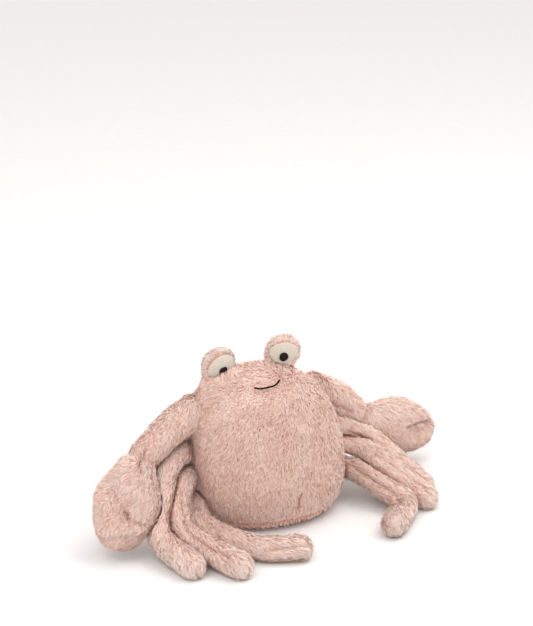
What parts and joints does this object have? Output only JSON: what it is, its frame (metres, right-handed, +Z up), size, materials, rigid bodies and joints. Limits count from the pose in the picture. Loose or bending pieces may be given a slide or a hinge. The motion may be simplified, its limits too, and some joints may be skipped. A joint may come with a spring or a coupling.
{
  "type": "plush crab",
  "caption": "Sitting plush crab of soft pile fabric with padded claws on arms, floppy legs along both sides, eye lobes with felt eyes and a stitched smile.",
  "frame": {"origin": "centre of the flat underside of the body, on the surface that the crab sits on", "axes": "+Z up, the face looks along -Y, +X towards the crab's own left arm"},
  "size_m": [0.4045, 0.1909, 0.1818],
  "materials": {
    "pile_fabric": "soft plush pile, matt with a slight sheen",
    "fibre_filling": "loose polyester fibre",
    "cream_felt": "matt felt",
    "dark_thread": "satin embroidery thread"
  },
  "bodies": {
    "root": {"body_front_panel": "pile_fabric", "body_back_panel": "pile_fabric", "body_base_panel": "pile_fabric", "arm_right": "pile_fabric", "arm_left": "pile_fabric", "claw_right": "pile_fabric", "claw_left": "pile_fabric", "eye_lobe_right": "pile_fabric", "eye_lobe_left": "pile_fabric", "leg_right_upper": "pile_fabric", "leg_right_middle": "pile_fabric", "leg_right_lower": "pile_fabric", "leg_left_upper": "pile_fabric", "leg_left_middle": "pile_fabric", "leg_left_lower": "pile_fabric", "body_stuffing": "fibre_filling", "eye_patch_right": "cream_felt", "pupil_right": "dark_thread", "eye_patch_left": "cream_felt", "pupil_left": "dark_thread", "smile_thread": "dark_thread"}
  },
  "joints": []
}
